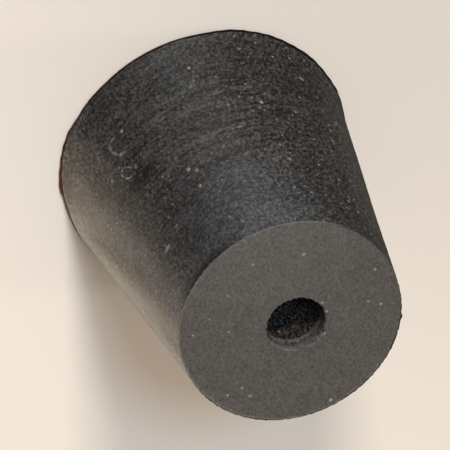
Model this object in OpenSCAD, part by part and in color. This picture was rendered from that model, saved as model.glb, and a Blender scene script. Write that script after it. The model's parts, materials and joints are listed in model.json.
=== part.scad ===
// One-hole rubber stopper: a solid tapered plug with a round hole through it, moulded in
// one piece. It stands on its wide end. The origin is the middle of the wide face, and
// +Z runs along the plug to its small end.

/* [Body] */
// Diameter of the wide end, where the side would meet the face if its rim were sharp
wide_d = 24; // [20:0.5:36]
// Diameter of the small end, taken in the same way
small_d = 18; // [14:0.5:22]
// Length from face to face
body_l = 25.4; // [15:0.1:50]

/* [Rims] */
// Radius of the edge round the wide face
wide_rim_r = 0.3; // [0.1:0.05:1]
// Radius of the edge round the small face
small_rim_r = 0.15; // [0.1:0.05:1]

/* [Hole] */
// Diameter of the hole, which grips a glass tube
hole_d = 4.76; // [3:0.01:7]
// Distance of the hole's axis from the axis of the plug, along +X
hole_offset = 0.65; // [0:0.05:0.8]
// Radius of the rounded lip at each mouth of the hole
lip_r = 0.25; // [0.1:0.05:0.8]

/* [Flash] */
// How far the trimmed flash stands out past the wide end
flash_out = 0.15; // [0.05:0.01:0.5]
// Thickness of the flash at its trimmed edge
flash_edge_h = 0.2; // [0.1:0.05:0.5]
// Height over which the flash runs back into the side
flash_run_h = 0.5; // [0.2:0.05:2]
// Height of the flash's underside above the wide face
flash_z = 0.1; // [0.05:0.05:0.5]
// Direction in which the flash starts, turned about +Z from +X
flash_from = 192; // [0:1:359]
// Angle over which the flash was left on the rim
flash_arc = 32; // [5:1:180]

/* [Hidden] */
$fn = 96;

wide_r = wide_d / 2;
small_r = small_d / 2;
hole_r = hole_d / 2;
// Angle between the side and the axis
taper = atan2(wide_r - small_r, body_l);
// Length along face and side, from their corner, that each rim radius takes
wide_rim_cut = wide_rim_r / tan((90 - taper) / 2);
small_rim_cut = small_rim_r / tan((90 + taper) / 2);
// Depth by which a section's arcs and the flash bed into the edges that they touch
bed = 0.0005;
// Length by which the hole's cutting shape runs past each face
past_face = 1;
// Depth by which the flash is rooted in the plug
flash_root = 1;

// Radius of the plug's side at height z
function side_r(z) = wide_r - (wide_r - small_r) * z / body_l;

// Point on the side, a given distance along it from height z
function on_side(z, along) = [side_r(z) - along * sin(taper), z + along * cos(taper)];

// Half section of the plug: two flat faces and a straight side, with both rims rounded
module plug_section() {
    polygon([
        [0, 0],
        [wide_r - wide_rim_cut, 0],
        on_side(0, wide_rim_cut),
        on_side(body_l, -small_rim_cut),
        [small_r - small_rim_cut, body_l],
        [0, body_l]
    ]);
    translate([wide_r - wide_rim_cut, wide_rim_r]) circle(wide_rim_r + bed);
    translate([small_r - small_rim_cut, body_l - small_rim_r]) circle(small_rim_r + bed);
}

// Half section of what one mouth takes away: it flares from the hole's wall at height
// lip_r down to the face at height 0, round an arc that touches both
module mouth_section() {
    difference() {
        translate([0, -past_face]) square([hole_r + lip_r, lip_r + past_face]);
        translate([hole_r + lip_r, lip_r]) circle(lip_r + bed);
    }
}

// Straight hole with a mouth at each end
module hole() {
    rotate_extrude() {
        translate([0, -past_face]) square([hole_r, body_l + 2 * past_face]);
        mouth_section();
        translate([0, body_l]) mirror([0, 1]) mouth_section();
    }
}

// Low ridge left where moulding flash was trimmed from part of the wide rim
module flash() {
    rotate([0, 0, flash_from]) rotate_extrude(angle = flash_arc)
    polygon([
        [wide_r - flash_root, flash_z],
        [wide_r + flash_out, flash_z],
        [wide_r + flash_out, flash_z + flash_edge_h],
        [side_r(flash_z + flash_run_h) - bed, flash_z + flash_run_h],
        [wide_r - flash_root, flash_z + flash_run_h]
    ]);
}

module stopper() {
    color([0.26, 0.25, 0.24])
    difference() {
        union() {
            rotate_extrude() plug_section();
            flash();
        }
        translate([hole_offset, 0, 0]) hole();
    }
}

stopper();
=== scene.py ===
"""One-hole rubber stopper: its finish, its light and its camera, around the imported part.

The stopper is one piece of rubber: a tapered plug with a ground side, two moulded end faces
and a straight hole. It is made here as one closed surface, which stands for the CAD solid.
Lengths in the named values are millimetres unless a name says otherwise; MM turns them into
metres. Azimuth is the angle in degrees round the plug's axis from +X, where the hole is
offset to. Height is measured up from the wide face, and depth down from the small face.
"""

import json
import math

import bpy
import numpy as np
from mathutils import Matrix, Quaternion, Vector


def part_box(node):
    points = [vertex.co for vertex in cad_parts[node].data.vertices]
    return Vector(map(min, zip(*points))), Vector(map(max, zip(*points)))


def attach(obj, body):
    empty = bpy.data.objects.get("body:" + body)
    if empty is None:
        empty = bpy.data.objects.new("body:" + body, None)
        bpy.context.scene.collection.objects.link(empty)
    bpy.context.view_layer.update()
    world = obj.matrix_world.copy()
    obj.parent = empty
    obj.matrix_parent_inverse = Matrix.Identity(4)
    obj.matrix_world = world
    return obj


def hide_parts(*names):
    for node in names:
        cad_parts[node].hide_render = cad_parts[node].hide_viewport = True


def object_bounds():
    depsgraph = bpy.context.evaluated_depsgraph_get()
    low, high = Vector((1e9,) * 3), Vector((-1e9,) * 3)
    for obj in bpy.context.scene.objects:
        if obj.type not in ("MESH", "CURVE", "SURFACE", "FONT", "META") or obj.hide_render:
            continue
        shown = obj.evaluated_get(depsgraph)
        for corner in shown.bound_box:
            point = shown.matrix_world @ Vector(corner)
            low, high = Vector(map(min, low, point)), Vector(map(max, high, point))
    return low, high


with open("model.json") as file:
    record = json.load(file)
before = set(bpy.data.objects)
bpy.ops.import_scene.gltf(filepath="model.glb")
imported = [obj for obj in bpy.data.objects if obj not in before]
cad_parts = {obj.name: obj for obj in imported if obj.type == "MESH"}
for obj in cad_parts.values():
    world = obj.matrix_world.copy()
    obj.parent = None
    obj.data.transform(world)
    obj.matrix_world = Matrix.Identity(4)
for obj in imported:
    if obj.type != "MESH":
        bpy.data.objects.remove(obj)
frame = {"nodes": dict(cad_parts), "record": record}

cad_low, cad_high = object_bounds()
MM = 0.001

# ---------------------------------------------------------------- sizes from the frame

stopper_low, stopper_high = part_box("stopper")
bore = next(m for m in frame["record"]["mounts"] if m["name"] == "bore")
BASE_Z = stopper_low.z / MM
BODY_LENGTH = (stopper_high.z - stopper_low.z) / MM
BORE_RADIUS = bore["dims"]["r_mm"]
BORE_OFFSET = bore["pos_m"][0] / MM

# ---------------------------------------------------------------- shape values

COLUMNS = 384           # steps round the axis
WIDE_RIM = 0.30         # radius of the rounding at the wide end
SMALL_RIM = 0.12        # radius of the rounding at the small end
READ_TO = 0.8           # how near the small face the CAD side is read, in that radius
LIP_LEAST = 0.05        # rounding of the hole's mouth on its sharp side
LIP_MOST = 0.14         # and on its soft side
LIP_SOFT_AT = 300.0     # azimuth of the soft side
FLAT_INSET = 0.02       # gap between the wide rim's last ring and the wide face's first

WAIST_IN = 0.155        # how far the side's wide part was ground inside a straight line
MOUTH_OUT = 0.11        # and how far its small end stands outside that line
WAIST_TOP = 0.2         # share of the length up to which the waist reaches
WAIST_BEND = 1.2        # power with which the side leaves it
LEAN = 0.08             # how far the small end lies off centre
LEAN_AT = 330.0         # and in which direction
WAVE_TURNS = (2, 3, 5, 8, 13)       # slow waves: how often each goes in and out all round
WAVE_SIZE = 0.010
BAND_PITCHES = (0.9, 1.3, 1.9, 2.7)     # heights of the bands left by the grinding wheel
BAND_SIZE = 0.006
BAND_DRIFT = 0.8        # how far they drift up and down round the plug, in radians of their wave

# The burr: azimuths along the wide rim, and how far it stands out at each.
BURR_AT = (0, 30, 46, 58, 100, 112, 121, 128, 168, 178, 186, 204, 214, 234, 250, 310, 360)
BURR_OUT = (
    0.08, 0.07, 0.09, 0.22, 0.30, 0.29, 0.14, 0.06, 0.07,
    0.20, 0.26, 0.28, 0.20, 0.06, 0.06, 0.10, 0.08,
)
BURR_FROM = 0.25        # height over the base at which burr and flash begin to fade
BURR_UP = 1.8           # and at which the burr has faded out
BURR_RAGGED = 0.12      # share by which burr and flash are ragged
BURR_TURNS = (23.0, 41.0)       # and the waves that make them so, by their number all round
FLASH_FROM = 189.0      # azimuths between which moulding flash stands on the burr
FLASH_TO = 220.0
FLASH_RISE = 3.0        # degrees over which it begins, to each side of that azimuth
FLASH_STOP = 1.0        # and over which it ends
FLASH_OUT = 0.15
FLASH_UP = 0.8          # height over the base at which the flash has faded out
SKIN_HEIGHT = 0.48      # height over the base up to which the wide rim keeps its skin, dark partly as painted shade
SKIN_MORE_AT = (75, 236)        # azimuths round which it keeps more
SKIN_MORE = (0.26, 0.30)        # and how much more
SKIN_MORE_WIDTH = 24.0
SKIN_RAGGED = 0.05

FRAYED_TURNS = (61, 89, 127)    # waves that fray the small rim, by their number all round
FRAYED = 0.012          # how far the small rim is frayed in and out
FRAYED_FROM = 0.6       # depths between which the fraying grows to its full size
FRAYED_FULL = 0.2
BULGE_AT = 5.0          # azimuth where the small end stands out a little
BULGE_OUT = 0.06
BULGE_WIDTH = 24.0
BULGE_FROM = 0.6        # share of the length above which it does
PRESSED_AT = (54, 243)  # azimuths where the small end is a little narrower
PRESSED_IN = 0.08
PRESSED_WIDTH = 20.0
PRESSED_FROM = 0.3      # shares of the length between which that grows
PRESSED_FULL = 0.8
NIB_AT = 26.9           # azimuth of the small nib on the small rim
NIB_OUT = 0.16
NIB_WIDTH = 0.9         # its width in degrees
NIB_DEPTH = 0.15        # depth of its middle
NIB_TALL = 0.14

LIT_BAND_DEPTH = 1.45      # how far below the small face the hole's wall is painted as lit
RIDGE_AT = 290.0        # azimuth at which the ridge along that band's lower edge stands out most
RIDGE_WIDTH = 50.0      # and its width there in degrees
RIDGE_IN = 0.05         # how far that ridge stands into the hole
RIDGE_UNEVEN = 0.12     # how much that edge goes up and down
RIDGE_TALL = 0.15       # how tall it is
LIT_BAND_CLOSE = 0.6       # how far below the painted lit band the hole's closely set rings begin
MOUTH_RAGGED = 0.05     # how ragged the hole's mouth is
MOUTH_FROM = 0.1        # depths between which that fades out down the hole
MOUTH_GONE = 1.0
MOUTH_POWER = 4         # power with which it fades out across the small face

RAGGED_TURNS = (7, 13, 21, 34, 52)      # waves of a ragged ring, by their number all round
RAGGED_SEED = 476       # seeds of their chance sizes, and of the side's waves and bands
SIDE_SEED = 254

BORE_ROWS = 26          # rings in each stretch of the profile
LIT_BAND_ROWS = 24
LIP_ROWS = 8
FACE_ROWS = 16
SMALL_RIM_ROWS = 9
SIDE_ROWS = 112
SKIN_ROWS = 24
WIDE_RIM_ROWS = 11
BASE_ROWS = 12

GROUND = 0              # material slots of the stopper's mesh
MOULDED = 1
HOLE = 2
RIM_SKIN_AND_SHADE = 3

# The stretches of the profile, in the order in which it runs round the section.
IN_BORE = 0
IN_LIT_BAND = 1
ON_SMALL_LIP = 2
ON_SMALL_FACE = 3
ON_SMALL_RIM = 4
ON_SIDE = 5
ON_WIDE_RIM = 6
ON_WIDE_FACE = 7
ON_WIDE_LIP = 8

# Where the flat layout puts the strips and discs of the surface, in shares of its square.
LAYOUT_SCALE = 1.0 / 76.0
SIDE_STRIP_V = 0.005
DISC_V = 0.54
SMALL_DISC_U = 0.16
WIDE_DISC_U = 0.50
HOLE_STRIP_U = 0.70
HOLE_STRIP_V = 0.38
HOLE_STRIP_WIDE = 0.2

# ---------------------------------------------------------------- the stopper's surface


def side_line(node):
    """Radius at the base plane and slope of the tapered side, in millimetres.

    A straight line is fitted to radius over height of the CAD solid's points on its side,
    between the rims, on the half that has no flash.
    """
    co = np.empty(len(node.data.vertices) * 3)
    node.data.vertices.foreach_get("co", co)
    co = co.reshape(-1, 3) / MM
    radius = np.hypot(co[:, 0], co[:, 1])
    height = co[:, 2] - BASE_Z
    on_taper = (radius > 2 * BORE_RADIUS) & (co[:, 0] > 0)
    on_taper &= (height > WIDE_RIM) & (height < BODY_LENGTH - READ_TO * SMALL_RIM)
    slope, base = np.polyfit(height[on_taper], radius[on_taper], 1)
    return base, slope


WIDE_RADIUS, SIDE_SLOPE = side_line(frame["nodes"]["stopper"])
TAPER = math.atan(-SIDE_SLOPE)


def rim_arc(height, rounding, start, end, rows):
    """Radius and height along a rounding that touches the side and an end face.

    The arc's centre lies one rounding inside the face and one inside the side. The angles
    are measured from the outward radius towards the small end.
    """
    radius = WIDE_RADIUS + SIDE_SLOPE * height - rounding / math.cos(TAPER)
    angle = np.radians(np.linspace(start, end, rows, endpoint=False))
    return radius + rounding * np.cos(angle), height + rounding * np.sin(angle)


def profile_rows():
    """The closed profile loop: radius, height, share of the hole's offset, zone and stretch.

    It climbs the bore, rolls over the lip, crosses the small face, rolls over the small
    rim, runs down the side, rolls over the wide rim and crosses the wide face back to the
    bore. Rings on the faces slide from the hole's axis to the plug's axis as they widen.
    """
    top = BODY_LENGTH
    lip = 0.5 * (LIP_LEAST + LIP_MOST)
    mouth = BORE_RADIUS + lip
    close_from = top - (LIT_BAND_DEPTH + LIT_BAND_CLOSE)
    bore_z = np.linspace(lip, close_from, BORE_ROWS, endpoint=False)
    lit_band_z = np.linspace(close_from, top - lip, LIT_BAND_ROWS, endpoint=False)
    roll = np.radians(np.linspace(180.0, 90.0, LIP_ROWS, endpoint=False))
    roll_back = roll - math.pi / 2
    across = np.linspace(0.0, 1.0, FACE_ROWS, endpoint=False)
    back = np.linspace(0.0, 1.0, BASE_ROWS, endpoint=False)

    lean_in = math.degrees(TAPER)
    small_r, small_z = rim_arc(top - SMALL_RIM, SMALL_RIM, 90.0, lean_in, SMALL_RIM_ROWS)
    wide_r, wide_z = rim_arc(WIDE_RIM, WIDE_RIM, lean_in, -90.0, WIDE_RIM_ROWS)
    side_top = top - SMALL_RIM + SMALL_RIM * math.sin(TAPER)
    side_end = WIDE_RIM + WIDE_RIM * math.sin(TAPER)
    side_z = np.concatenate([
        np.linspace(side_top, BURR_UP, SIDE_ROWS, endpoint=False),
        np.linspace(BURR_UP, side_end, SKIN_ROWS, endpoint=False),
    ])
    side_r = WIDE_RADIUS + SIDE_SLOPE * side_z
    wide_flat = wide_r[-1] - FLAT_INSET
    parts = [
        (np.full(BORE_ROWS, BORE_RADIUS), bore_z, 1.0, HOLE),
        (np.full(LIT_BAND_ROWS, BORE_RADIUS), lit_band_z, 1.0, HOLE),
        (mouth + lip * np.cos(roll), top - lip + lip * np.sin(roll), 1.0, HOLE),
        (mouth + (small_r[0] - mouth) * across, np.full(FACE_ROWS, top), 1.0 - across, MOULDED),
        (small_r, small_z, 0.0, MOULDED),
        (side_r, side_z, 0.0, GROUND),
        (wide_r, wide_z, 0.0, RIM_SKIN_AND_SHADE),
        (wide_flat + (mouth - wide_flat) * back, np.zeros(BASE_ROWS), back, MOULDED),
        (mouth - lip * np.sin(roll_back), lip - lip * np.cos(roll_back), 1.0, HOLE),
    ]
    radius = np.concatenate([p[0] for p in parts])
    height = np.concatenate([p[1] for p in parts])
    share = np.concatenate([np.broadcast_to(p[2], p[0].shape) for p in parts])
    zone = np.concatenate([np.full(p[0].shape, p[3]) for p in parts])
    stretch = np.concatenate([np.full(p[0].shape, n) for n, p in enumerate(parts)])
    return radius, height, share, zone, stretch


def ramp(value, low, high):
    """0 below low, 1 above high, and a smooth S between."""
    t = np.clip((value - low) / (high - low), 0.0, 1.0)
    return t * t * (3.0 - 2.0 * t)


def near(angle, centre, width):
    """A round bump of the angle, 1 at the centre and about a third one width away."""
    away = (angle - centre + 180.0) % 360.0 - 180.0
    return np.exp(-((away / width) ** 2))


def ground_relief(azimuth, height):
    """How far the ground side stands out from its straight line, in millimetres.

    The waist near the wide end, growing by a power of the height to the stand-out of the
    small end; a lean that grows with height; slow waves round and along the plug; and fine
    bands left by the grinding wheel, sine waves of the height that swell and fade all round.
    """
    rng = np.random.default_rng(SIDE_SEED)
    t = height / BODY_LENGTH
    risen = np.clip((t - WAIST_TOP) / (1.0 - WAIST_TOP), 0.0, 1.0) ** WAIST_BEND
    out = -WAIST_IN + (WAIST_IN + MOUTH_OUT) * risen
    out = out + LEAN * t * np.cos(np.radians(azimuth - LEAN_AT))
    for turns in WAVE_TURNS:
        along, phase, size = rng.uniform((0.05, 0.0, 0.5), (0.5, 6.28, 1.0))
        out = out + WAVE_SIZE * size * np.cos(turns * np.radians(azimuth) + along * height + phase)
    for pitch in BAND_PITCHES:
        phase, start, size = rng.uniform((0.0, 0.0, 0.6), (6.28, 360.0, 1.0))
        drift = BAND_DRIFT * np.sin(np.radians(azimuth - start))
        swell = 0.5 + 0.5 * np.cos(np.radians(2.0 * (azimuth - start)))
        out = out + BAND_SIZE * size * swell * np.sin(2.0 * math.pi * height / pitch + phase + drift)
    return out


def wide_rim_relief(azimuth, height):
    """How far burr and flash stand out along the wide rim, in millimetres.

    The burr's reach at its azimuths, joined by straight lines, and the flash between its
    two azimuths, both made ragged by sine waves of the azimuth and fading out with height.
    """
    turn = np.radians(azimuth)
    slow, quick = BURR_TURNS
    ragged = 1.0 + BURR_RAGGED * np.sin(turn * slow) * np.sin(turn * quick + 1.0)
    burr = np.interp(azimuth, BURR_AT, BURR_OUT) * ragged
    flash = ramp(azimuth, FLASH_FROM - FLASH_RISE, FLASH_FROM + FLASH_RISE)
    flash = flash - ramp(azimuth, FLASH_TO - FLASH_STOP, FLASH_TO + FLASH_STOP)
    out = burr * (1.0 - ramp(height, BURR_FROM, BURR_UP))
    return out + FLASH_OUT * flash * ragged * (1.0 - ramp(height, BURR_FROM, FLASH_UP))


def small_rim_relief(azimuth, height):
    """How far the side stands out or in towards the small rim, in millimetres.

    Fraying, which is a sum of sine waves of many turns; a round bulge and a round nib; and,
    taken off, a round dent at each azimuth where the small end is narrower.
    """
    frayed = sum(np.sin(turns * np.radians(azimuth) + turns) for turns in FRAYED_TURNS)
    frayed = frayed * ramp(height, BODY_LENGTH - FRAYED_FROM, BODY_LENGTH - FRAYED_FULL)
    bulge = near(azimuth, BULGE_AT, BULGE_WIDTH)
    bulge = bulge * ramp(height, BULGE_FROM * BODY_LENGTH, BODY_LENGTH)
    pressed = sum(near(azimuth, at, PRESSED_WIDTH) for at in PRESSED_AT)
    pressed = pressed * ramp(height, PRESSED_FROM * BODY_LENGTH, PRESSED_FULL * BODY_LENGTH)
    above_nib = height - BODY_LENGTH + NIB_DEPTH
    nib = near(azimuth, NIB_AT, NIB_WIDTH) * np.exp(-((above_nib / NIB_TALL) ** 2))
    return FRAYED * frayed - PRESSED_IN * pressed + BULGE_OUT * bulge + NIB_OUT * nib


def side_relief(azimuth, height):
    """How far the side stands out from its straight line: the three reliefs above, added."""
    out = ground_relief(azimuth, height) + wide_rim_relief(azimuth, height)
    return out + small_rim_relief(azimuth, height)


def ragged_ring(azimuth):
    """A ragged wave round a ring, about -1 to 1: a few sine waves of many turns, added."""
    rng = np.random.default_rng(RAGGED_SEED)
    out = np.zeros(np.shape(azimuth))
    for turns in RAGGED_TURNS:
        phase, size = rng.uniform((0.0, 0.3), (6.28, 0.6))
        out = out + size * np.sin(turns * np.radians(azimuth) + phase)
    return out


def skin_and_shade_height(azimuth):
    """Height over the base up to which the rim keeps its moulded skin, dark partly as painted shade;
    ragged round the rim.
    """
    more = sum(
        size * near(azimuth, at, SKIN_MORE_WIDTH)
        for at, size in zip(SKIN_MORE_AT, SKIN_MORE)
    )
    return SKIN_HEIGHT + more + SKIN_RAGGED * ragged_ring(azimuth)


def hole_relief(azimuth, height):
    """How far the hole's wall stands back from its true radius, in millimetres.

    It is ragged at the mouth, fading out over the first millimetre, and on one side a low
    ridge runs along the lower edge of the band painted as lit, where it is negative.
    """
    depth = BODY_LENGTH - height
    ragged = MOUTH_RAGGED * ragged_ring(azimuth) * (1.0 - ramp(depth, MOUTH_FROM, MOUTH_GONE))
    uneven = depth - LIT_BAND_DEPTH - RIDGE_UNEVEN * ragged_ring(azimuth + 90.0)
    ridge = near(azimuth, RIDGE_AT, RIDGE_WIDTH) * np.exp(-((uneven / RIDGE_TALL) ** 2))
    return ragged - RIDGE_IN * ridge


def stopper_points():
    """Points of the whole surface as (rows, columns, 3) in millimetres, with zone and stretch.

    A point is its ring's centre plus its radius turned to its azimuth. The side's relief
    is added to the radius, in full on the side and fading out over each rim. The lips swing
    between sharp and soft round the hole, and the mouth's raggedness fades out over the face.
    """
    radius, height, share, zone, stretch = profile_rows()
    azimuth = np.linspace(0.0, 360.0, COLUMNS, endpoint=False)
    turn = np.broadcast_to(azimuth, (len(radius), COLUMNS))
    r = np.repeat(radius[:, None], COLUMNS, axis=1)
    z = np.repeat(height[:, None], COLUMNS, axis=1)

    rolled = np.where(stretch == ON_SIDE, 1.0, 0.0)
    for rim in (ON_SMALL_RIM, ON_WIDE_RIM):
        on_rim = stretch == rim
        rolled[on_rim] = ramp(radius[on_rim], radius[on_rim].min(), radius[on_rim].max())
    r = r + rolled[:, None] * side_relief(turn, z)

    swing = 0.5 * (LIP_MOST - LIP_LEAST) * np.cos(np.radians(turn - LIP_SOFT_AT))
    on_lip = np.isin(stretch, (ON_SMALL_LIP, ON_WIDE_LIP))[:, None]
    grow = on_lip * swing / (0.5 * (LIP_LEAST + LIP_MOST))
    drop = np.where((stretch == ON_SMALL_LIP)[:, None], BODY_LENGTH - z, -z)
    r = r + (r - BORE_RADIUS) * grow
    z = z - drop * grow

    on_face = np.where(np.isin(stretch, (ON_SMALL_FACE, ON_WIDE_FACE)), share, 0.0)[:, None]
    r = r + on_face * swing
    near_mouth = np.isin(stretch, (IN_LIT_BAND, ON_SMALL_LIP))[:, None]
    round_mouth = np.where(stretch == ON_SMALL_FACE, share ** MOUTH_POWER, 0.0)[:, None]
    r = r + near_mouth * hole_relief(turn, z) + round_mouth * MOUTH_RAGGED * ragged_ring(turn)

    x = share[:, None] * BORE_OFFSET + r * np.cos(np.radians(turn))
    y = r * np.sin(np.radians(turn))
    skin_and_shade = (stretch == ON_SIDE)[:, None] & (z < skin_and_shade_height(turn))
    zone = np.where(skin_and_shade, RIM_SKIN_AND_SHADE, zone[:, None])
    return np.stack([x, y, z + BASE_Z], axis=-1), zone, stretch


def bake_layout(points, stretch):
    """Flat coordinates of every ring point: side and bore as strips, the faces as discs."""
    rows = points.shape[0]
    across = np.broadcast_to(np.linspace(0.0, 1.0, COLUMNS + 1), (rows, COLUMNS + 1)).copy()
    closed = np.concatenate([points, points[:, :1]], axis=1)
    u = across.copy()
    v = SIDE_STRIP_V + closed[..., 2] * LAYOUT_SCALE
    for discs, centre in (
        ((ON_SMALL_FACE, ON_SMALL_RIM), SMALL_DISC_U),
        ((ON_WIDE_FACE,), WIDE_DISC_U),
    ):
        disc = np.isin(stretch, discs)
        u[disc] = centre + closed[disc][..., 0] * LAYOUT_SCALE
        v[disc] = DISC_V + closed[disc][..., 1] * LAYOUT_SCALE
    hole = np.isin(stretch, (IN_BORE, IN_LIT_BAND, ON_SMALL_LIP, ON_WIDE_LIP))
    u[hole] = HOLE_STRIP_U + HOLE_STRIP_WIDE * across[hole]
    v[hole] = HOLE_STRIP_V + closed[hole][..., 2] * LAYOUT_SCALE
    return np.stack([u, v], axis=-1)


def add_object(name, data):
    """A new object in the scene, with its mesh, lamp or camera; returns the object."""
    added = bpy.data.objects.new(name, data)
    bpy.context.scene.collection.objects.link(added)
    return added


def enclosed_volume(points, corners):
    """Six times the volume inside closed quads, negative where their faces point inwards.

    Each quad is two triangles, and each triangle adds the triple product of its corners.
    """
    a, b, c, d = (points[corners[:, k]] for k in range(4))
    first = np.einsum("ij,ij->i", a, np.cross(b, c)).sum()
    second = np.einsum("ij,ij->i", a, np.cross(c, d)).sum()
    return first + second


def make_stopper():
    """The stopper as one closed grid: rings of the profile joined to the next ring all round."""
    points, zone, stretch = stopper_points()
    rows = points.shape[0]
    row, column = np.meshgrid(np.arange(rows), np.arange(COLUMNS), indexing="ij")
    after_row = (row + 1) % rows
    after_column = (column + 1) % COLUMNS
    corners = np.stack([
        row * COLUMNS + column,
        row * COLUMNS + after_column,
        after_row * COLUMNS + after_column,
        after_row * COLUMNS + column,
    ], axis=-1).reshape(-1, 4)
    corner_u = np.stack([column, column + 1, column + 1, column], axis=-1).reshape(-1, 4)
    corner_v = np.stack([row, row, after_row, after_row], axis=-1).reshape(-1, 4)
    flat = points.reshape(-1, 3)
    if enclosed_volume(flat, corners) < 0:
        corners = corners[:, ::-1]
        corner_u = corner_u[:, ::-1]
        corner_v = corner_v[:, ::-1]
    mesh = bpy.data.meshes.new("rubber_stopper")
    mesh.vertices.add(len(flat))
    mesh.vertices.foreach_set("co", (flat * MM).ravel().astype(np.float32))
    mesh.loops.add(corners.size)
    mesh.loops.foreach_set("vertex_index", corners.ravel().astype(np.int32))
    mesh.polygons.add(len(corners))
    mesh.polygons.foreach_set("loop_start", np.arange(0, corners.size, 4, dtype=np.int32))
    mesh.polygons.foreach_set("use_smooth", np.ones(len(corners), dtype=bool))
    mesh.polygons.foreach_set("material_index", zone.ravel().astype(np.int32))
    layout = bake_layout(points, stretch)
    uv = mesh.uv_layers.new(name="OFBake")
    uv.data.foreach_set("uv", layout[corner_v, corner_u].ravel().astype(np.float32))
    mesh.update(calc_edges=True)
    mesh.validate()
    return add_object("rubber_stopper", mesh)


# ---------------------------------------------------------------- node helpers


def feed(tree, socket, value):
    """Links an output to an input, or sets the input's own value; a colour has three parts."""
    if isinstance(value, bpy.types.NodeSocket):
        tree.links.new(value, socket)
    elif socket.type == "RGBA":
        socket.default_value = (*value, 1.0)
    else:
        socket.default_value = value


def add_node(tree, kind, inputs, **settings):
    """Adds a node, sets its properties, and sets or links its inputs by name or number."""
    node = tree.nodes.new(kind)
    for name, value in settings.items():
        setattr(node, name, value)
    for name, value in inputs.items():
        feed(tree, node.inputs[name], value)
    return node


def math_node(tree, operation, first, second=0.0, third=0.0, clamp=False):
    """One Math node; returns its output."""
    inputs = {0: first, 1: second, 2: third}
    node = add_node(tree, "ShaderNodeMath", inputs, operation=operation, use_clamp=clamp)
    return node.outputs[0]


def vector_node(tree, operation, first, second=(0.0, 0.0, 0.0)):
    """One Vector Math node; returns its output."""
    inputs = {0: first, 1: second}
    node = add_node(tree, "ShaderNodeVectorMath", inputs, operation=operation)
    return node.outputs["Value" if operation in ("LENGTH", "DISTANCE", "DOT_PRODUCT") else "Vector"]


def smooth_step(tree, value, first, last, start=0.0, end=1.0):
    """A smooth S from start, where the value is first, to end, where it is last."""
    inputs = {"Value": value, "From Min": first, "From Max": last, "To Min": start, "To Max": end}
    node = add_node(tree, "ShaderNodeMapRange", inputs, interpolation_type="SMOOTHSTEP")
    return node.outputs["Result"]


def mix_colour(tree, factor, first, second, blend="MIX"):
    """A colour Mix node; returns its output."""
    inputs = {0: factor, 6: first, 7: second}
    settings = {"data_type": "RGBA", "blend_type": blend, "clamp_factor": True}
    return add_node(tree, "ShaderNodeMix", inputs, **settings).outputs[2]


def product(tree, first, *others):
    """The product of the values."""
    for other in others:
        first = math_node(tree, "MULTIPLY", first, other)
    return first


def add_share(tree, base, pattern, strength, clamp=False):
    """The base plus a pattern times its strength."""
    return math_node(tree, "MULTIPLY_ADD", pattern, strength, base, clamp)


def apart(tree, first, second):
    """How far two values are apart."""
    return math_node(tree, "ABSOLUTE", math_node(tree, "SUBTRACT", first, second))


def height_of(tree, position):
    """The height in a position, in millimetres."""
    return add_node(tree, "ShaderNodeSeparateXYZ", {0: position}).outputs["Z"]


def drawn_out(tree, position, axis, share):
    """The position without a share of its part along an axis.

    A pattern that reads it is drawn out along the axis, or made finer by a share below 0.
    """
    along = vector_node(tree, "DOT_PRODUCT", position, axis)
    pulled = vector_node(tree, "MULTIPLY", along, tuple(share * part for part in axis))
    return vector_node(tree, "SUBTRACT", position, pulled)


def new_group(name, output, inputs):
    """A shader node group that reads a position and other inputs, and puts out one number.

    The inputs are given by name, each with its default: a vector or a number.
    """
    tree = bpy.data.node_groups.new(name, "ShaderNodeTree")
    for label, default in {"Position": (0.0, 0.0, 0.0), **inputs}.items():
        kind = "NodeSocketVector" if isinstance(default, tuple) else "NodeSocketFloat"
        socket = tree.interface.new_socket(label, in_out="INPUT", socket_type=kind)
        socket.default_value = default
    tree.interface.new_socket(output, in_out="OUTPUT", socket_type="NodeSocketFloat")
    given = tree.nodes.new("NodeGroupInput").outputs
    made = tree.nodes.new("NodeGroupOutput").inputs[0]
    return tree, given, made


def place_group(tree, group, inputs):
    """A shader node group in a tree, with its inputs set or linked by name; returns its output."""
    return add_node(tree, "ShaderNodeGroup", inputs, node_tree=group).outputs[0]


# ---------------------------------------------------------------- shared effects

# Where marks fade, from nothing to full: in radii from the middle of a grain of dust, in half
# sizes from the middle of a speck, and in values of the noise that breaks up a ring scuff.
DUST_FADE = (1.0, 0.35)
SPECK_FADE = (1.3, 0.4)
SCUFF_BREAKS = (0.36, 0.58)
SCUFF_OPENING = 0.35    # how far past its open side's beginning a ring scuff is fully open
DUST_LEAST = 0.4        # size of the smallest grains of dust, in radii


def spread(tree, noise):
    """Noise spread from its usual 0.25 to 0.75 to about -1 to 1."""
    return math_node(tree, "MULTIPLY_ADD", noise.outputs[0], 4.0, -2.0)


def mottle_group():
    """Uneven rubber grain: cloudy noise of a given size, from -1 to 1."""
    tree, given, made = new_group("Rubber mottle", "Value", {
        "Size": 0.5, "Detail": 4.0, "Roughness": 0.6,
    })
    noise = add_node(tree, "ShaderNodeTexNoise", {
        "Vector": given["Position"], "Scale": math_node(tree, "DIVIDE", 1.0, given["Size"]),
        "Detail": given["Detail"], "Roughness": given["Roughness"],
    })
    tree.links.new(spread(tree, noise), made)
    return tree


def grinding_group():
    """Lines left by the grinding wheel: noise drawn out round the plug, from -1 to 1."""
    tree, given, made = new_group("Grinding lines", "Value", {"Pitch": 0.3, "Length": 4.0})
    across = math_node(tree, "DIVIDE", 1.0, given["Length"])
    up = math_node(tree, "DIVIDE", 1.0, given["Pitch"])
    scale = add_node(tree, "ShaderNodeCombineXYZ", {"X": across, "Y": across, "Z": up})
    drawn = vector_node(tree, "MULTIPLY", given["Position"], scale.outputs[0])
    noise = add_node(tree, "ShaderNodeTexNoise", {
        "Vector": drawn, "Scale": 1.0, "Detail": 2.0, "Roughness": 0.55,
    })
    tree.links.new(spread(tree, noise), made)
    return tree


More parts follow.
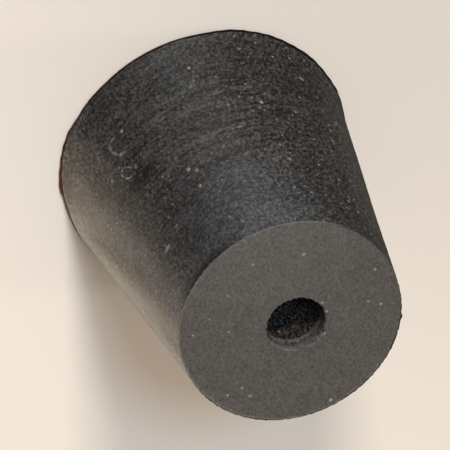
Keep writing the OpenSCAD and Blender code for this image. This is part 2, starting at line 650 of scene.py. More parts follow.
def dust_group():
    """Pale dust: a round grain in each cell of a random pattern, sized and lit by chance."""
    tree, given, made = new_group("Dust", "Mask", {"Spacing": 0.5, "Radius": 0.06, "Rarity": 2.0})
    cells = add_node(tree, "ShaderNodeTexVoronoi", {
        "Vector": given["Position"], "Scale": math_node(tree, "DIVIDE", 1.0, given["Spacing"]),
        "Randomness": 1.0,
    })
    chance = add_node(tree, "ShaderNodeSeparateColor", {"Color": cells.outputs["Color"]})
    distance = product(tree, cells.outputs["Distance"], given["Spacing"])
    size = math_node(tree, "ADD", chance.outputs[0], DUST_LEAST)
    size = product(tree, given["Radius"], size)
    grain = smooth_step(tree, math_node(tree, "DIVIDE", distance, size), *DUST_FADE)
    strength = math_node(tree, "POWER", chance.outputs[1], given["Rarity"])
    tree.links.new(product(tree, grain, strength), made)
    return tree


def speck_group():
    """One speck or fleck at a place of its own, joined to the mask that comes in."""
    tree, given, made = new_group("Speck", "Mask", {
        "Centre": (0.0, 0.0, 0.0), "Half size": (0.1, 0.1, 0.1), "Strength": 1.0, "Mask": 0.0,
    })
    away = vector_node(tree, "SUBTRACT", given["Position"], given["Centre"])
    shaped = vector_node(tree, "DIVIDE", away, given["Half size"])
    fleck = smooth_step(tree, vector_node(tree, "LENGTH", shaped), *SPECK_FADE)
    fleck = product(tree, fleck, given["Strength"])
    tree.links.new(math_node(tree, "MAXIMUM", fleck, given["Mask"]), made)
    return tree


def ring_scuff_group():
    """One broken ring-shaped scuff, open on one side, joined to the mask that comes in."""
    tree, given, made = new_group("Ring scuff", "Mask", {
        "Centre": (0.0, 0.0, 0.0), "Half size": (1.0, 1.0, 1.0), "Open side": (0.0, 1.0, 0.0),
        "Open from": 0.1, "Line": 0.2, "Strength": 1.0, "Mask": 0.0,
    })
    away = vector_node(tree, "SUBTRACT", given["Position"], given["Centre"])
    shaped = vector_node(tree, "DIVIDE", away, given["Half size"])
    from_ring = apart(tree, vector_node(tree, "LENGTH", shaped), 1.0)
    line = smooth_step(tree, from_ring, given["Line"], 0.0)
    to_open = vector_node(tree, "DOT_PRODUCT", shaped, given["Open side"])
    fully_open = math_node(tree, "ADD", given["Open from"], SCUFF_OPENING)
    closed = smooth_step(tree, to_open, fully_open, given["Open from"])
    noise = add_node(tree, "ShaderNodeTexNoise", {
        "Vector": given["Position"], "Scale": 3.5, "Detail": 2.0,
    })
    broken = smooth_step(tree, noise.outputs[0], *SCUFF_BREAKS)
    mark = product(tree, line, broken, given["Strength"], closed)
    tree.links.new(math_node(tree, "MAXIMUM", mark, given["Mask"]), made)
    return tree


MOTTLE = mottle_group()
GRINDING = grinding_group()
DUST = dust_group()
SPECK = speck_group()
RING_SCUFF = ring_scuff_group()

# ---------------------------------------------------------------- colours

SIDE_DARK = (0.0065, 0.0056, 0.0050)
SIDE_LIGHT = (0.092, 0.091, 0.092)
SIDE_WARMTH = (0.95, 0.88, 0.80)
# painted sheen: a pale bluish colour added where the side's highlight falls
SIDE_PAINTED_SHEEN = (0.006, 0.008, 0.011)
# painted light, added to the side above the wide rim
SIDE_PAINTED_PALE = (0.020, 0.017, 0.014)
FACE_COLOUR = (0.120, 0.107, 0.094)
FACE_DARK = (0.037, 0.033, 0.029)
# painted light: a paler colour added to the small face beside the side's sheen
FACE_PAINTED_LIGHT = (0.012, 0.012, 0.012)
# the small face's dark edge, partly painted shade, and the painted highlight inside it
EDGE_DARK = (0.017, 0.015, 0.013)
EDGE_HIGHLIGHT = (0.24, 0.23, 0.21)
BORE_DARK = (0.003, 0.0025, 0.002)
BORE_PALE = (0.190, 0.160, 0.138)
# painted light: the pale band just inside the hole's mouth, where light falls into the hole
LIT_BAND_PALE = (0.138, 0.134, 0.128)
LIT_BAND_DARK = (0.034, 0.031, 0.028)
DUST_COLOUR = (0.33, 0.33, 0.32)
# the wide rim's black and brown: partly its moulded skin, partly painted shade on its rounding
RIM_BLACK = (0.008, 0.007, 0.006)
RIM_BROWN = (0.050, 0.015, 0.007)
FLOOR_COLOUR = (0.69, 0.62, 0.55)
# painted light: the floor's paler colour towards one azimuth
FLOOR_PAINTED_LIGHT = (0.94, 0.84, 0.74)
FLOOR_IN_GLOSS = (0.06, 0.055, 0.05)

# ---------------------------------------------------------------- where the finishes lie

# Changes from one side of the plug to the other: the azimuth a finish changes towards, and
# the distances from the axis in that direction at which it begins and is complete.
CALM_SIDE = (205.0, 1.0, 8.0)       # the side's evenest part
EVEN_SIDE = (327.0, 1.0, 9.0)       # where its grain is faintest
WARM_SIDE = (65.0, 4.0, 10.0)       # its browner part
DUSTY_SIDE = (84.0, 6.0, 10.5)      # its dustiest part
SHADED_SIDE = (175.0, 8.3, 8.9)      # painted shade: a dark patch on it under the small rim
BROWN_RIM = (192.0, 4.0, 10.5)      # the brownest part of the wide rim
UNSHADED_EDGE = (172.0, 1.0, 3.8)      # where the small face's edge has the least painted shade
HIGHLIGHT_EDGE_SIDE = (300.0, 2.0, 5.0)       # where a painted highlight runs along that edge
LIT_SIDE_OF_HOLE = (325.0, 0.5, 1.35)        # the side of the hole with the painted lit band
LIT_BAND_PALEST = (265.0, -1.6, 1.0)   # and the palest part of that painted light

# Round spots: azimuth and height of the middle, and the distances from it at which a spot
# begins and is complete.
CLEAR_LINES = (138.0, 0.38 * BODY_LENGTH, 9.0, 2.5)     # where the grinding lines show most
PAINTED_SHEEN_ON_SIDE = (138.0, BODY_LENGTH, 11.0, 3.0)         # painted sheen on the side, where its highlight falls
PAINTED_LIGHT_ON_FACE = (138.0, BODY_LENGTH, 11.0, 2.0)         # painted light on the small face, paler beside the side's sheen
PAINTED_PALE_SPOT = (206.0, 1.2, 4.5, 1.0)      # painted light: a paler patch above the wide rim, where the burr shades the side

GRAIN_ALONG = (-0.48, 0.31, 0.82)   # direction in which grain and dust are drawn out
GRAIN_DRAWN = 0.42      # and how strongly
SCUFF_DRAWN = 0.85      # and how strongly the scuffs are
FACE_GRAIN_AT = 34.0    # azimuth along which the grain of the faces is finer
FACE_GRAIN_FINER = 0.35     # by this share
SIDE_SHADE = 0.42       # shade of the ground side before grain and patches
SIDE_POWER = 1.5        # power that keeps most of it dark
SIDE_ROUGHNESS = 0.45
RIM_BLACKENED = 0.3     # how far the wide rim's brown is blackened, before its clouds
FACE_SHADE = 0.5        # shade of the end faces before their grain
FACE_ROUGHNESS = 0.75
FINE_DUST = 0.35        # strength of the fine dust on the faces
COARSE_DUST = 0.5       # and of the coarse dust
SHADE_UNDER_RIM = (1.2, 0.2)    # depths between which the painted shade under the small rim begins
EDGE_FROM = 8.98        # distance from the middle at which the small face's dark edge, partly painted shade, begins
EDGE_GROWS = 0.1        # and over which it grows to its full strength
EDGE_LINE = 0.06        # how far inside it a painted highlight runs
EDGE_LINE_FADE = (0.10, 0.02)   # distances from that line between which it appears
LIT_BAND_FADE = (0.22, 0.02)       # distances below the lit band's edge between which its painted light appears
LIT_BAND_SHADE = 0.76      # shade of the painted lit band before its grain and patches
LIT_BAND_DARKEST_AT = 0.55        # depth of its painted dark middle, as a share of its own depth
LIT_BAND_DARK_FADE = (0.6, 0.1)        # distances from there between which it darkens
LIP_FADE = (0.25, 0.05)         # depths between which the hole's lip is painted darker
SMEAR_SHADE = 0.42      # shade of the hole's wall before its smears
SMEAR_POWER = 2.0       # power that keeps most of the wall dark
WALL_SHADE_DEPTHS = (1.5, 5.0)         # depths between which the wall is painted paler, from painted shade near the mouth
SMEAR_DRAWN = (1.0, 1.0, 0.35)  # how they are drawn out along the hole
BORE_SPECK_AT = (288.0, 2.8)    # azimuth and depth of the speck in the hole
BORE_SPECK_HALF = (0.13, 0.13, 0.16)    # and its half sizes
SCUFF_LINE = 0.24       # breadth of a ring scuff's line, in its radius
BUMP_DEPTH = 0.01       # depth of the grain's relief
BUMP_STRENGTH = 0.25    # and how strongly it shows

# Ring-shaped scuffs on the side: azimuth, height, radius, open side, how far open, strength.
SIDE_SCUFFS = (
    (177.6, 6.7, 0.72, (0.34, 0.93, -0.14), 0.00, 0.30),
    (181.1, 9.7, 0.45, (0.78, 0.57, 0.25), 0.50, 0.60),
)
# Cloudy patches on the side: azimuth, height, radius, how much paler or darker.
SIDE_CLOUDS = (
    (137, 5.5, 3.2, -0.10),
    (136, 9.8, 3.2, -0.10),
    (153, 8.0, 3.6, 0.12),
    (152, 13.5, 3.2, 0.10),
    (136, 15.0, 3.0, -0.10),
    (118, 17.5, 4.0, 0.10),
    (181, 11.0, 3.6, -0.14),
    (92, 23.0, 4.0, -0.12),
    (123, 24.0, 3.0, 0.12),
    (87, 5.5, 3.2, -0.10),
    (174, 21.5, 2.6, -0.12),
)
# Specks on the side: azimuth, height, half width, half height, strength.
SIDE_SPECKS = (
    (87, 4.5, 0.26, 0.20, 0.50),
    (71, 7.9, 0.16, 0.20, 0.50),
    (79, 10.4, 0.16, 0.20, 0.45),
    (98, 10.2, 0.16, 0.20, 0.40),
    (80, 12.1, 0.16, 0.34, 0.35),
    (85, 20.9, 0.16, 0.22, 0.35),
    (80, 21.7, 0.16, 0.20, 0.45),
    (90, 2.1, 0.13, 0.18, 0.45),
    (113, 2.4, 0.12, 0.18, 0.40),
    (113, 9.6, 0.15, 0.20, 0.80),
    (111, 17.1, 0.15, 0.20, 0.50),
    (127, 12.5, 0.30, 0.13, 0.40),
    (136, 3.9, 0.14, 0.20, 0.60),
    (156, 14.9, 0.18, 0.24, 0.50),
    (153, 15.5, 0.17, 0.22, 0.35),
    (155, 17.3, 0.14, 0.22, 0.45),
    (173, 5.8, 0.15, 0.20, 0.60),
    (179, 7.6, 0.17, 0.20, 0.45),
    (190, 8.4, 0.14, 0.20, 0.40),
    (181, 6.9, 0.14, 0.20, 0.30),
    (176, 10.1, 0.14, 0.35, 0.22),
    (185, 19.7, 0.48, 0.22, 0.28),
)
# Specks on the small face: distance from the axis, azimuth, half size, strength.
FACE_SPECKS = (
    (6.1, 114, 0.14, 0.65),
    (5.0, 216, 0.12, 0.45),
    (7.9, 214, 0.12, 0.45),
    (6.7, 203, 0.10, 0.40),
    (6.0, 182, 0.12, 0.45),
    (6.5, 152, 0.13, 0.45),
    (7.8, 62, 0.13, 0.60),
    (6.4, 41, 0.12, 0.50),
    (7.4, 37, 0.13, 0.60),
    (3.2, 4, 0.14, 0.75),
    (2.9, 60, 0.12, 0.45),
    (3.0, 42, 0.12, 0.50),
    (7.9, 264, 0.13, 0.55),
    (6.8, 269, 0.13, 0.55),
    (7.2, 277, 0.14, 0.55),
    (8.6, 327, 0.15, 0.85),
)


def turned(azimuth):
    """The unit vector that points outwards at an azimuth."""
    turn = math.radians(azimuth)
    return (math.cos(turn), math.sin(turn), 0.0)


def place_at(distance, azimuth, height):
    """The point at a distance from the axis, an azimuth and a height over the wide face."""
    turn = math.radians(azimuth)
    return (distance * math.cos(turn), distance * math.sin(turn), BASE_Z + height)


def on_side(azimuth, height):
    """The point of the side at an azimuth and height, in millimetres."""
    radius = WIDE_RADIUS + SIDE_SLOPE * height + float(side_relief(azimuth, height))
    return place_at(radius, azimuth, height)


def on_small_face(distance, azimuth):
    """The point of the small face at a distance from the axis, in millimetres."""
    return place_at(distance, azimuth, BODY_LENGTH)


def in_hole(azimuth, depth):
    """The point of the hole's wall at an azimuth round the hole and a depth, in millimetres."""
    x, y, z = place_at(BORE_RADIUS, azimuth, BODY_LENGTH - depth)
    return (BORE_OFFSET + x, y, z)


def side_to_side(tree, position, where, start=0.0, end=1.0, ragged=None, by=0.0):
    """A change from one side of the plug to the other, which a pattern can make ragged."""
    azimuth, begins, complete = where
    reached = vector_node(tree, "DOT_PRODUCT", position, turned(azimuth))
    if ragged is not None:
        reached = add_share(tree, reached, ragged, by)
    return smooth_step(tree, reached, begins, complete, start, end)


def round_spot(tree, position, where, start=0.0, end=1.0):
    """A change towards the middle of a round spot on the side."""
    azimuth, height, begins, complete = where
    away = vector_node(tree, "DISTANCE", position, on_side(azimuth, height))
    return smooth_step(tree, away, begins, complete, start, end)


def mottle(tree, position, size, detail, roughness):
    """Uneven rubber grain of a size in millimetres."""
    return place_group(tree, MOTTLE, {
        "Position": position, "Size": size, "Detail": detail, "Roughness": roughness,
    })


def scattered_dust(tree, position, spacing, radius, rarity):
    """Dust strewn by chance; spacing and radius are in millimetres."""
    return place_group(tree, DUST, {
        "Position": position, "Spacing": spacing, "Radius": radius, "Rarity": rarity,
    })


def speck(tree, position, centre, half_size, strength, mask=0.0):
    """One speck, joined to a mask."""
    return place_group(tree, SPECK, {
        "Position": position, "Centre": centre, "Half size": half_size,
        "Strength": strength, "Mask": mask,
    })


# ---------------------------------------------------------------- finishes


def new_material(name):
    """A material with a Principled shader and the position in millimetres."""
    material = bpy.data.materials.new(name)
    material.use_nodes = True
    tree = material.node_tree
    tree.nodes.clear()
    output = tree.nodes.new("ShaderNodeOutputMaterial")
    shader = tree.nodes.new("ShaderNodeBsdfPrincipled")
    tree.links.new(shader.outputs[0], output.inputs[0])
    place = tree.nodes.new("ShaderNodeTexCoord").outputs["Object"]
    inputs = {0: place, "Scale": 1.0 / MM}
    position = add_node(tree, "ShaderNodeVectorMath", inputs, operation="SCALE").outputs[0]
    return material, tree, shader, position


def grain_relief(tree, shader, relief):
    """Gives a shader the relief of a pattern, as shallow bumps."""
    bump = add_node(tree, "ShaderNodeBump", {
        "Height": relief, "Strength": BUMP_STRENGTH, "Distance": BUMP_DEPTH * MM,
    })
    tree.links.new(bump.outputs[0], shader.inputs["Normal"])


def side_shade(tree, position, grain, lines):
    """How pale the ground side is: grain, clouds, soft patches and grinding lines, added.

    The grain is quieter towards two azimuths, and the sum is raised to a power.
    """
    cloudy = mottle(tree, position, size=1.8, detail=2.0, roughness=0.7)
    calm = side_to_side(tree, position, CALM_SIDE, start=1.08, end=0.77)
    even = side_to_side(tree, position, EVEN_SIDE, start=1.0, end=0.55)
    shade = add_share(tree, SIDE_SHADE, grain, product(tree, calm, even))
    shade = add_share(tree, shade, cloudy, strength=0.10)
    for azimuth, height, radius, change in SIDE_CLOUDS:
        patch = round_spot(tree, position, (azimuth, height, radius, 0.0), end=change)
        shade = math_node(tree, "ADD", shade, patch)
    shade = add_share(tree, shade, lines, strength=0.28, clamp=True)
    return math_node(tree, "POWER", shade, SIDE_POWER)


def side_dust(tree, position, drawn):
    """Pale marks on the ground side: strewn dust, single specks and ring-shaped scuffs."""
    dust = scattered_dust(tree, drawn, spacing=0.42, radius=0.12, rarity=2.4)
    dusty = side_to_side(tree, position, DUSTY_SIDE, start=0.30, end=0.55)
    dust = product(tree, dust, dusty)
    for azimuth, height, wide, tall, strength in SIDE_SPECKS:
        centre = on_side(azimuth, height)
        dust = speck(tree, position, centre, (wide, wide, tall), strength, dust)
    scuffed = drawn_out(tree, position, GRAIN_ALONG, SCUFF_DRAWN)
    axis = Vector(GRAIN_ALONG)
    for azimuth, height, radius, open_side, open_from, strength in SIDE_SCUFFS:
        centre = Vector(on_side(azimuth, height))
        centre = centre - SCUFF_DRAWN * centre.dot(axis) * axis
        dust = place_group(tree, RING_SCUFF, {
            "Position": scuffed, "Centre": centre, "Half size": (radius, radius, radius),
            "Open side": open_side, "Open from": open_from, "Line": SCUFF_LINE,
            "Strength": strength, "Mask": dust,
        })
    return dust


def ground_side():
    """Ground rubber: dark and grainy, with lines round the plug, soft patches and pale dust.

    Painted sheen, pale and bluish, lies towards the small end, where the side faces the front.
    One side is browner; painted shade darkens a patch under the small rim, and painted light pales
    one above the wide rim.
    """
    material, tree, shader, position = new_material("Ground rubber side")
    drawn = drawn_out(tree, position, GRAIN_ALONG, GRAIN_DRAWN)
    grain = mottle(tree, drawn, size=0.28, detail=3.0, roughness=1.0)
    lines = place_group(tree, GRINDING, {"Position": position, "Pitch": 0.38, "Length": 4.5})
    clear = round_spot(tree, position, CLEAR_LINES, start=0.25, end=1.25)
    lines = product(tree, lines, clear)
    shade = side_shade(tree, position, grain, lines)
    rubber = mix_colour(tree, shade, SIDE_DARK, SIDE_LIGHT)

    warm = side_to_side(tree, position, WARM_SIDE)
    rubber = mix_colour(tree, warm, rubber, SIDE_WARMTH, "MULTIPLY")
    # Painted sheen: a pale bluish colour added where the side's highlight falls.
    painted_light = round_spot(tree, position, PAINTED_SHEEN_ON_SIDE)
    rubber = mix_colour(tree, painted_light, rubber, SIDE_PAINTED_SHEEN, "ADD")

    # Painted shade: a dark patch on the side under the small rim.
    begins, complete = (BASE_Z + BODY_LENGTH - depth for depth in SHADE_UNDER_RIM)
    under_rim = smooth_step(tree, height_of(tree, position), begins, complete)
    shaded = side_to_side(tree, position, SHADED_SIDE, end=0.8, ragged=grain, by=0.08)
    rubber = mix_colour(tree, product(tree, under_rim, shaded), rubber, SIDE_DARK)
    # Painted light: a paler patch above the wide rim, where the burr shades the side.
    painted_pale = round_spot(tree, position, PAINTED_PALE_SPOT)
    rubber = mix_colour(tree, painted_pale, rubber, SIDE_PAINTED_PALE, "ADD")
    rubber = mix_colour(tree, side_dust(tree, position, drawn), rubber, DUST_COLOUR)
    tree.links.new(rubber, shader.inputs["Base Color"])

    rough = add_share(tree, SIDE_ROUGHNESS, grain, strength=0.05)
    tree.links.new(rough, shader.inputs["Roughness"])
    grain_relief(tree, shader, add_share(tree, grain, lines, strength=0.5))
    shader.inputs["Specular IOR Level"].default_value = 0.56
    shader.inputs["Anisotropic"].default_value = 0.8
    shader.inputs["Anisotropic Rotation"].default_value = 0.25
    return material


def wide_rim_skin_and_shade():
    """The skin of the wide rim, which the grinding didn't reach: black to brown, and dull, partly as
    painted shade on the rounding.
    """
    material, tree, shader, position = new_material("Wide rim skin")
    brown = side_to_side(tree, position, BROWN_RIM)
    # Partly moulded skin, partly painted shade on the rounding.
    rubber = mix_colour(tree, brown, RIM_BLACK, RIM_BROWN)
    cloudy = mottle(tree, position, size=0.7, detail=3.0, roughness=0.7)
    blackened = add_share(tree, RIM_BLACKENED, cloudy, strength=0.5, clamp=True)
    rubber = mix_colour(tree, blackened, rubber, RIM_BLACK)
    tree.links.new(rubber, shader.inputs["Base Color"])
    shader.inputs["Roughness"].default_value = 0.9
    shader.inputs["Specular IOR Level"].default_value = 0.06
    return material


def face_dust(tree, position):
    """Pale marks on the end faces: fine and coarse dust, and single specks on the small one."""
    fine = scattered_dust(tree, position, spacing=0.38, radius=0.07, rarity=3.0)
    coarse = scattered_dust(tree, position, spacing=1.1, radius=0.10, rarity=2.0)
    fine = product(tree, fine, FINE_DUST)
    dust = math_node(tree, "MAXIMUM", fine, product(tree, coarse, COARSE_DUST))
    for distance, azimuth, size, strength in FACE_SPECKS:
        centre = on_small_face(distance, azimuth)
        dust = speck(tree, position, centre, (size, size, size), strength, dust)
    return dust


def small_face_edge(tree, position, fine, cloudy):
    """Masks of the small face's dark, ragged edge, partly painted shade, and of a painted highlight
    along it.

    The edge is measured from the middle of the leaning small end. Its painted shade is left off one
    side, and the painted highlight shows on another.
    """
    flat = vector_node(tree, "MULTIPLY", position, (1.0, 1.0, 0.0))
    flat = vector_node(tree, "SUBTRACT", flat, tuple(LEAN * part for part in turned(LEAN_AT)))
    from_middle = vector_node(tree, "LENGTH", flat)
    from_middle = add_share(tree, from_middle, cloudy, strength=0.09)
    from_middle = add_share(tree, from_middle, fine, strength=0.05)
    small_end = math_node(tree, "GREATER_THAN", height_of(tree, position), 0.5 * BODY_LENGTH)
    edge = smooth_step(tree, from_middle, EDGE_FROM, EDGE_FROM + EDGE_GROWS)
    # Painted shade on the edge, left off one side.
    shaded = side_to_side(tree, position, UNSHADED_EDGE, start=0.9, end=0.0)
    edge = product(tree, edge, small_end, shaded)
    from_line = apart(tree, from_middle, EDGE_FROM - EDGE_LINE)
    line = smooth_step(tree, from_line, *EDGE_LINE_FADE)
    # A painted highlight along the edge, on one side.
    highlighted = side_to_side(tree, position, HIGHLIGHT_EDGE_SIDE, end=0.40)
    broken = smooth_step(tree, fine, first=-0.5, last=0.5)
    return edge, product(tree, line, small_end, highlighted, broken)


def moulded_face():
    """Moulded rubber of the end faces: an even matt grey with dust.

    The grain is finer along one azimuth. Painted light makes the small face paler where it meets
    the front of the side, beside its sheen, and its edge is dark, partly with painted shade.
    """
    material, tree, shader, position = new_material("Moulded rubber face")
    drawn = drawn_out(tree, position, turned(FACE_GRAIN_AT), -FACE_GRAIN_FINER)
    fine = mottle(tree, drawn, size=0.26, detail=3.0, roughness=1.0)
    cloudy = mottle(tree, position, size=1.6, detail=3.0, roughness=0.6)
    grain = add_share(tree, FACE_SHADE, fine, strength=0.70)
    grain = add_share(tree, grain, cloudy, strength=0.08, clamp=True)
    rubber = mix_colour(tree, grain, FACE_DARK, FACE_COLOUR)
    # Painted light: the small face is paler beside the side's sheen.
    painted_light = round_spot(tree, position, PAINTED_LIGHT_ON_FACE)
    rubber = mix_colour(tree, painted_light, rubber, FACE_PAINTED_LIGHT, "ADD")
    rubber = mix_colour(tree, face_dust(tree, position), rubber, DUST_COLOUR)
    edge, line = small_face_edge(tree, position, fine, cloudy)
    # A painted highlight inside the edge, then the dark edge, which is partly painted shade.
    rubber = mix_colour(tree, line, rubber, EDGE_HIGHLIGHT)
    rubber = mix_colour(tree, edge, rubber, EDGE_DARK)
    tree.links.new(rubber, shader.inputs["Base Color"])

    rough = add_share(tree, FACE_ROUGHNESS, edge, strength=0.2)
    tree.links.new(rough, shader.inputs["Roughness"])
    grain_relief(tree, shader, fine)
    shader.inputs["Specular IOR Level"].default_value = 0.3
    return material


def hole_painted_light(tree, position, depth):
    """The grey band of painted light just inside the small face: where it covers the wall, and its
    colour.

    It covers one side of the hole, down to a ragged edge. It is painted darker in its middle and
    at the lip than between them and at its edge, and palest round one azimuth.
    """
    fine = mottle(tree, position, size=0.26, detail=3.0, roughness=0.9)
    patchy = mottle(tree, position, size=0.6, detail=2.0, roughness=0.8)
    ragged = add_share(tree, depth, fine, strength=0.32)
    begins, complete = (LIT_BAND_DEPTH + below for below in LIT_BAND_FADE)
    lit_band = smooth_step(tree, ragged, begins, complete)
    lit_side = side_to_side(tree, position, LIT_SIDE_OF_HOLE, ragged=fine, by=0.5)

    tone = add_share(tree, LIT_BAND_SHADE, patchy, strength=0.45)
    tone = add_share(tree, tone, fine, strength=0.5)
    # Painted shade: a darker middle and a darker lip within the painted light.
    from_darkest = apart(tree, ragged, LIT_BAND_DARKEST_AT * LIT_BAND_DEPTH)
    darkest = smooth_step(tree, from_darkest, *LIT_BAND_DARK_FADE)
    tone = add_share(tree, tone, darkest, strength=-0.40)
    tone = math_node(tree, "ADD", tone, smooth_step(tree, depth, *LIP_FADE, end=-0.15))
    darker = side_to_side(tree, position, LIT_BAND_PALEST, start=-0.50, end=0.0, ragged=fine, by=0.9)
    tone = math_node(tree, "ADD", tone, darker, clamp=True)
    return product(tree, lit_band, lit_side), mix_colour(tree, tone, LIT_BAND_DARK, LIT_BAND_PALE)


def bore_wall():
    """The hole's wall: dark, smeared along its length, with a grey band of painted light just
    inside.

    The smears are painted darker near the mouth and paler with depth, as painted shade, and one pale
    speck lies on the wall.
    """
    material, tree, shader, position = new_material("Bore wall")
    depth = math_node(tree, "SUBTRACT", BASE_Z + BODY_LENGTH, height_of(tree, position))
    along = vector_node(tree, "MULTIPLY", position, SMEAR_DRAWN)
    smear = mottle(tree, along, size=0.12, detail=1.0, roughness=1.0)
    smear = add_share(tree, SMEAR_SHADE, smear, strength=1.5, clamp=True)
    smear = math_node(tree, "POWER", smear, SMEAR_POWER)
    # Painted shade: the wall is darker near the mouth and paler with depth.
    clear = smooth_step(tree, depth, *WALL_SHADE_DEPTHS, start=0.42, end=0.85)
    rubber = mix_colour(tree, product(tree, smear, clear), BORE_DARK, BORE_PALE)
    # Painted light: the pale band where light falls into the hole.
    lit_band, lit_band_colour = hole_painted_light(tree, position, depth)
    rubber = mix_colour(tree, lit_band, rubber, lit_band_colour)
    fleck = speck(tree, position, in_hole(*BORE_SPECK_AT), BORE_SPECK_HALF, strength=0.6)
    rubber = mix_colour(tree, fleck, rubber, DUST_COLOUR)
    tree.links.new(rubber, shader.inputs["Base Color"])
    shader.inputs["Roughness"].default_value = 0.75
    shader.inputs["Specular IOR Level"].default_value = 0.12
    return material


# ---------------------------------------------------------------- the piece

stopper = make_stopper()
for finish in (ground_side(), moulded_face(), bore_wall(), wide_rim_skin_and_shade()):
    stopper.data.materials.append(finish)
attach(stopper, "root")
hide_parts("stopper")

# ---------------------------------------------------------------- floor, light and camera

FLOOR_RADIUS = 3.0      # in metres
FLOOR_STEP = 3.0        # degrees between the points of its edge
FLOOR_GAP = 0.02        # how far under the stopper the floor lies
FLOOR_LIT_AT = 270.0   # azimuth towards which the floor is painted paler, as painted light
FLOOR_LIGHT_FADE = (-0.03, 0.03)      # distances in metres between which it grows paler
LAMP_AWAY = 0.4         # distance of the lamps from the stopper's middle, in metres
LAMP_WIDTH = 0.08       # in metres
CARD_LIFT = 0.3         # height of the bounce cards over the floor
SURROUND_COLOUR = (1.0, 0.88, 0.77)
SURROUND_STRENGTH = 0.43
CAMERA_AT = (147.4, 55.0)       # azimuth and elevation of the camera
CAMERA_AWAY = 714.475   # its distance from the point it looks at
CAMERA_AIM = (-2.370, 0.303, 12.7)      # that point
CAMERA_ROLL = 152.27    # how far it is turned about its own line, in degrees
CAMERA_LENS = 720.0
CAMERA_SENSOR = 36.0
CAMERA_REACH = 50.0     # how far it sees, in metres

# Lamps: name, azimuth, elevation, level, colour.
LAMPS = (
    ("key_lamp", 127.4, 60.0, 0.38, (0.58, 0.79, 1.0)),
    ("edge_lamp", 27.4, 15.0, 0.16, (1.0, 0.95, 0.85)),
    ("front_lamp", 127.4, 35.0, 0.71, (1.0, 0.94, 0.86)),
    ("low_side_lamp", 267.4, 5.0, 1.50, (1.0, 0.89, 0.70)),
)
# Bounce cards: name, azimuth, breadth in degrees, inner and outer radius, radiance, colour.
CARDS = (
    ("card_front", 207.4, 20.0, 13.2, 24.0, 0.66, (1.0, 0.76, 0.56)),
    ("card_near", 227.4, 20.0, 13.2, 24.0, 1.34, (1.0, 0.81, 0.62)),
    ("card_middle", 227.4, 20.0, 24.0, 45.0, 1.67, (1.0, 0.86, 0.80)),
    ("card_back", 247.4, 20.0, 24.0, 45.0, 2.85, (1.0, 0.77, 0.58)),
    ("card_right", 34.0, 44.0, 13.2, 32.0, 0.075, (1.0, 0.96, 0.90)),
)


def other_in_gloss(tree, plain, in_gloss):
    """A shader that looks like another one where it is seen in gloss; returns its output."""
    rays = tree.nodes.new("ShaderNodeLightPath")
    inputs = {0: rays.outputs["Is Glossy Ray"], 1: plain.outputs[0], 2: in_gloss.outputs[0]}
    return add_node(tree, "ShaderNodeMixShader", inputs).outputs[0]


def make_floor():
    """A pale disc on which the stopper stands, painted paler towards one azimuth as painted light,
    and dark in gloss.
    """
    turn = np.radians(np.arange(0.0, 360.0, FLOOR_STEP))
    under = np.full(turn.shape, cad_low.z - FLOOR_GAP * MM)
    rim = np.stack([FLOOR_RADIUS * np.cos(turn), FLOOR_RADIUS * np.sin(turn), under], axis=-1)
    mesh = bpy.data.meshes.new("floor")
    mesh.from_pydata(rim.tolist(), [], [list(range(len(turn)))])
    mesh.update()
    floor = add_object("floor", mesh)
    material = bpy.data.materials.new("Pale floor")
    material.use_nodes = True
    tree = material.node_tree
    tree.nodes.clear()
    place = tree.nodes.new("ShaderNodeTexCoord").outputs["Object"]
    # Painted light: the floor is paler towards one azimuth.
    across = vector_node(tree, "DOT_PRODUCT", place, turned(FLOOR_LIT_AT))
    tone = smooth_step(tree, across, *FLOOR_LIGHT_FADE)
    colour = mix_colour(tree, tone, FLOOR_COLOUR, FLOOR_PAINTED_LIGHT)
    pale = add_node(tree, "ShaderNodeBsdfDiffuse", {"Color": colour})
    dark = add_node(tree, "ShaderNodeBsdfDiffuse", {"Color": FLOOR_IN_GLOSS})
    add_node(tree, "ShaderNodeOutputMaterial", {"Surface": other_in_gloss(tree, pale, dark)})
    mesh.materials.append(material)


def outwards(azimuth, elevation):
    """The unit vector that points outwards at an azimuth and rises at an elevation."""
    turn = math.radians(azimuth)
    rise = math.radians(elevation)
    return Vector((math.cos(rise) * math.cos(turn), math.cos(rise) * math.sin(turn), math.sin(rise)))


def softbox(name, azimuth, elevation, level, colour):
    """A round soft lamp aimed at the stopper's middle.

    level is how bright it makes a white surface that faces it, where 1 shows a colour as it
    is written. Its power is level times pi squared times distance squared.
    """
    out = outwards(azimuth, elevation)
    data = bpy.data.lights.new(name, "AREA")
    data.shape = "DISK"
    data.size = LAMP_WIDTH
    data.energy = level * math.pi ** 2 * LAMP_AWAY ** 2
    data.color = colour
    lamp = add_object(name, data)
    lamp.location = out * LAMP_AWAY + Vector((0.0, 0.0, 0.5 * BODY_LENGTH * MM))
    lamp.rotation_euler = out.to_track_quat("Z", "Y").to_euler()


def light_only_the_stopper(lamp):
    """Keeps a low lamp off the floor, which it would streak."""
    lit = bpy.data.collections.new("lit by " + lamp.name)
    lit.objects.link(stopper)
    lamp.light_linking.receiver_collection = lit


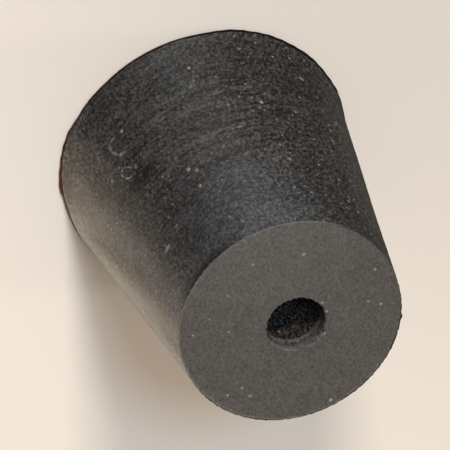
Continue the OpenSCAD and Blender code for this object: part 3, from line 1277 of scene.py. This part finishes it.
def bounce_card(name, azimuth, breadth, inner, outer, radiance, colour):
    """A card just over the floor that shines up, between two distances from the axis.

    It stands for pale cloth close to the side, is unseen by the camera and lights the side
    from below. Its power is pi times its area times its radiance.
    """
    turn = math.radians(azimuth)
    middle = 0.5 * (inner + outer) * MM
    data = bpy.data.lights.new(name, "AREA")
    data.shape = "RECTANGLE"
    data.size = (outer - inner) * MM
    data.size_y = middle * math.radians(breadth)
    data.energy = math.pi * data.size * data.size_y * radiance
    data.color = colour
    card = add_object(name, data)
    card.location = (middle * math.cos(turn), middle * math.sin(turn), cad_low.z + CARD_LIFT * MM)
    card.rotation_euler = (math.pi, 0.0, turn)
    card.visible_camera = False


def make_surround():
    """An even pale surround, which is black in gloss."""
    world = bpy.data.worlds.new("Surround")
    world.use_nodes = True
    tree = world.node_tree
    pale = tree.nodes["Background"]
    feed(tree, pale.inputs["Color"], SURROUND_COLOUR)
    feed(tree, pale.inputs["Strength"], SURROUND_STRENGTH)
    black = add_node(tree, "ShaderNodeBackground", {"Color": (0.0, 0.0, 0.0)})
    both = other_in_gloss(tree, pale, black)
    tree.links.new(both, tree.nodes["World Output"].inputs["Surface"])
    bpy.context.scene.world = world


def make_camera():
    """The camera, by the direction it looks from, the point it looks at and its roll."""
    out = outwards(*CAMERA_AT)
    data = bpy.data.cameras.new("camera")
    data.sensor_width = CAMERA_SENSOR
    data.lens = CAMERA_LENS
    data.clip_end = CAMERA_REACH
    camera = add_object("camera", data)
    camera.location = Vector(CAMERA_AIM) * MM + out * CAMERA_AWAY * MM
    upright = out.to_track_quat("Z", "Y")
    roll = Quaternion((0.0, 0.0, 1.0), math.radians(CAMERA_ROLL))
    camera.rotation_euler = (upright @ roll).to_euler()
    bpy.context.scene.camera = camera


make_floor()
make_surround()
for lamp_values in LAMPS:
    softbox(*lamp_values)
light_only_the_stopper(bpy.data.objects["low_side_lamp"])
for card_values in CARDS:
    bounce_card(*card_values)
make_camera()
bpy.context.scene.view_settings.view_transform = "Standard"
